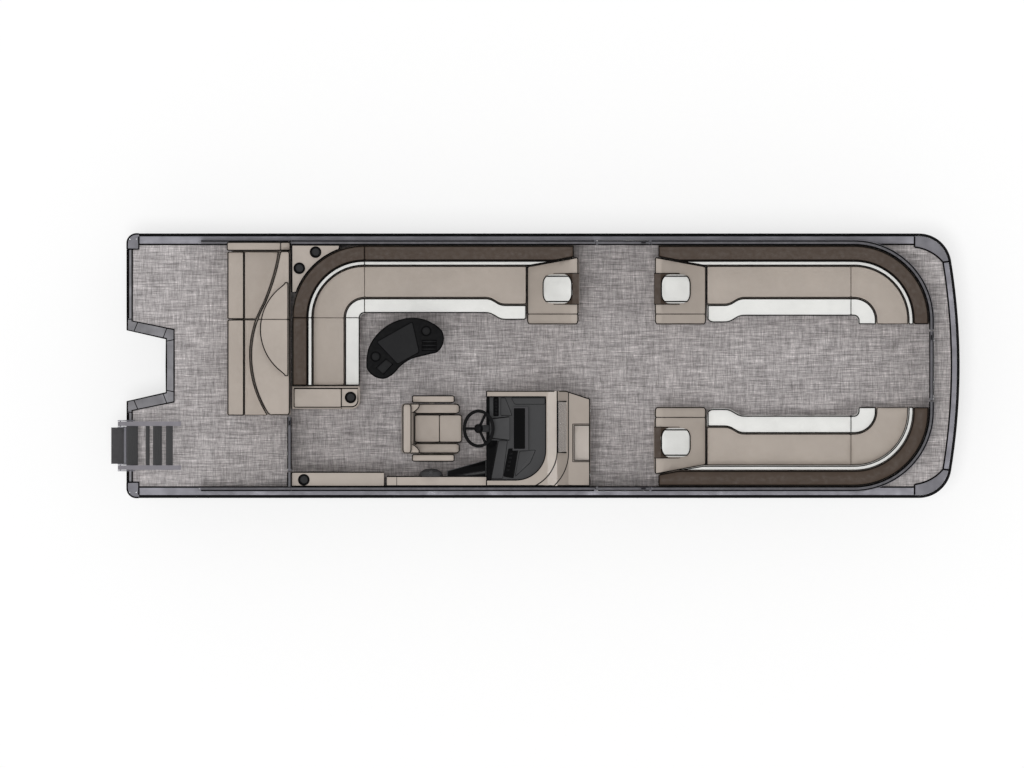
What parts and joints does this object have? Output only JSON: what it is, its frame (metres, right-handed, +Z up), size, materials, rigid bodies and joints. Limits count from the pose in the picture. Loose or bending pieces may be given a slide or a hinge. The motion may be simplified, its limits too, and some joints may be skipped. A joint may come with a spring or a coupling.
{
  "type": "pontoon boat",
  "caption": "Twin-tube aluminium pontoon boat with fenced deck, lounge seating, helm console with swivel chair, table, gates and flip-over boarding ladder.",
  "frame": {"origin": "centre of the bounding box at the floor, under the keels", "axes": "+X towards the bow, +Y to port, +Z up"},
  "size_m": [8.3058, 2.59, 1.835],
  "materials": {
    "mill_aluminium": "brushed",
    "rail_aluminium": "satin anodised",
    "trim_aluminium": "satin",
    "fence_panel": "gloss",
    "black_rubber": "matte",
    "deck_vinyl": "woven vinyl",
    "beige_vinyl": "soft grain",
    "white_vinyl": "soft grain",
    "brown_vinyl": "soft grain",
    "seat_base": "moulded",
    "console_plastic": "gel coat",
    "black_plastic": "moulded",
    "screen_acrylic": "tinted clear",
    "table_black": "moulded",
    "polished_metal": "polished",
    "fence_charcoal": "powder coat"
  },
  "bodies": {
    "hull": {"keels": "mill_aluminium", "tube_port": "mill_aluminium", "tube_starboard": "mill_aluminium", "tube_brackets": "mill_aluminium", "cross_members": "mill_aluminium", "deck": "deck_vinyl", "corner_castings": "rail_aluminium", "deck_rails": "rail_aluminium", "rub_strips": "black_rubber", "stern_trim": "trim_aluminium", "transom": "mill_aluminium", "motor_pod": "mill_aluminium", "fence_frame_port": "fence_charcoal", "fence_skin_port": "fence_panel", "fence_frame_starboard": "fence_charcoal", "fence_skin_starboard": "fence_panel", "gate_pins": "polished_metal", "chaise_backs": "beige_vinyl", "chaise_straps": "brown_vinyl", "headrests": "white_vinyl", "port_couch_base": "seat_base", "port_couch_seat": "beige_vinyl", "port_couch_back": "brown_vinyl", "starboard_couch_base": "seat_base", "starboard_couch_seat": "beige_vinyl", "starboard_couch_back": "brown_vinyl", "aft_couch_base": "seat_base", "aft_couch_seat": "beige_vinyl", "aft_couch_back": "brown_vinyl", "seat_front_bands": "white_vinyl", "back_facings": "white_vinyl", "corner_console": "seat_base", "aft_couch_arm": "seat_base", "cup_holders": "black_plastic", "lounge_base": "seat_base", "lounge_back": "beige_vinyl", "lounge_seat": "beige_vinyl", "console_shell": "console_plastic", "console_dash": "black_plastic", "windscreen": "screen_acrylic", "side_consoles": "seat_base", "throttle": "black_plastic", "pedestals": "polished_metal", "table_top": "table_black", "ladder_brackets": "rail_aluminium", "boarding_plate": "rail_aluminium"},
    "port_gate": {"port_gate_frame": "fence_charcoal", "port_gate_skin": "fence_panel"},
    "starboard_gate": {"starboard_gate_frame": "fence_charcoal", "starboard_gate_skin": "fence_panel"},
    "bow_gate": {"bow_gate_frame": "fence_charcoal", "bow_gate_skin": "fence_panel"},
    "stern_gate": {"stern_gate_frame": "fence_charcoal", "stern_gate_skin": "fence_panel"},
    "helm_chair": {"helm_chair_frame": "seat_base", "helm_seat": "beige_vinyl", "helm_back": "beige_vinyl"},
    "steering_wheel": {"steering_wheel": "black_plastic"},
    "ladder": {"ladder_rails": "rail_aluminium", "ladder_treads": "black_plastic"}
  },
  "joints": [
    {"name": "port_gate_hinge", "type": "hinge", "parent": "hull", "child": "port_gate", "pos_m": [0.61, 1.204, 0.8], "axis": [0, 0, -1], "range_deg": [0, 90]},
    {"name": "starboard_gate_hinge", "type": "hinge", "parent": "hull", "child": "starboard_gate", "pos_m": [0.61, -1.204, 0.8], "axis": [0, 0, 1], "range_deg": [0, 90]},
    {"name": "bow_gate_hinge", "type": "hinge", "parent": "hull", "child": "bow_gate", "pos_m": [3.877, -0.318, 0.8], "axis": [0, 0, 1], "range_deg": [0, 90]},
    {"name": "stern_gate_hinge", "type": "hinge", "parent": "hull", "child": "stern_gate", "pos_m": [-2.409, -1.011, 0.8], "axis": [0, 0, -1], "range_deg": [0, 90]},
    {"name": "helm_chair_swivel", "type": "hinge", "parent": "hull", "child": "helm_chair", "pos_m": [-1.017, -0.615, 1.145], "axis": [0, 0, 1], "range_deg": [-90, 90]},
    {"name": "steering_wheel_turn", "type": "hinge", "parent": "hull", "child": "steering_wheel", "pos_m": [-0.556, -0.615, 1.666], "axis": [-0.5736, 0, 0.8191], "range_deg": [-540, 540]},
    {"name": "boarding_ladder_flip", "type": "hinge", "parent": "hull", "child": "ladder", "pos_m": [-4.064, -0.7825, 0.83], "axis": [0, -1, 0], "range_deg": [0, 196]}
  ]
}
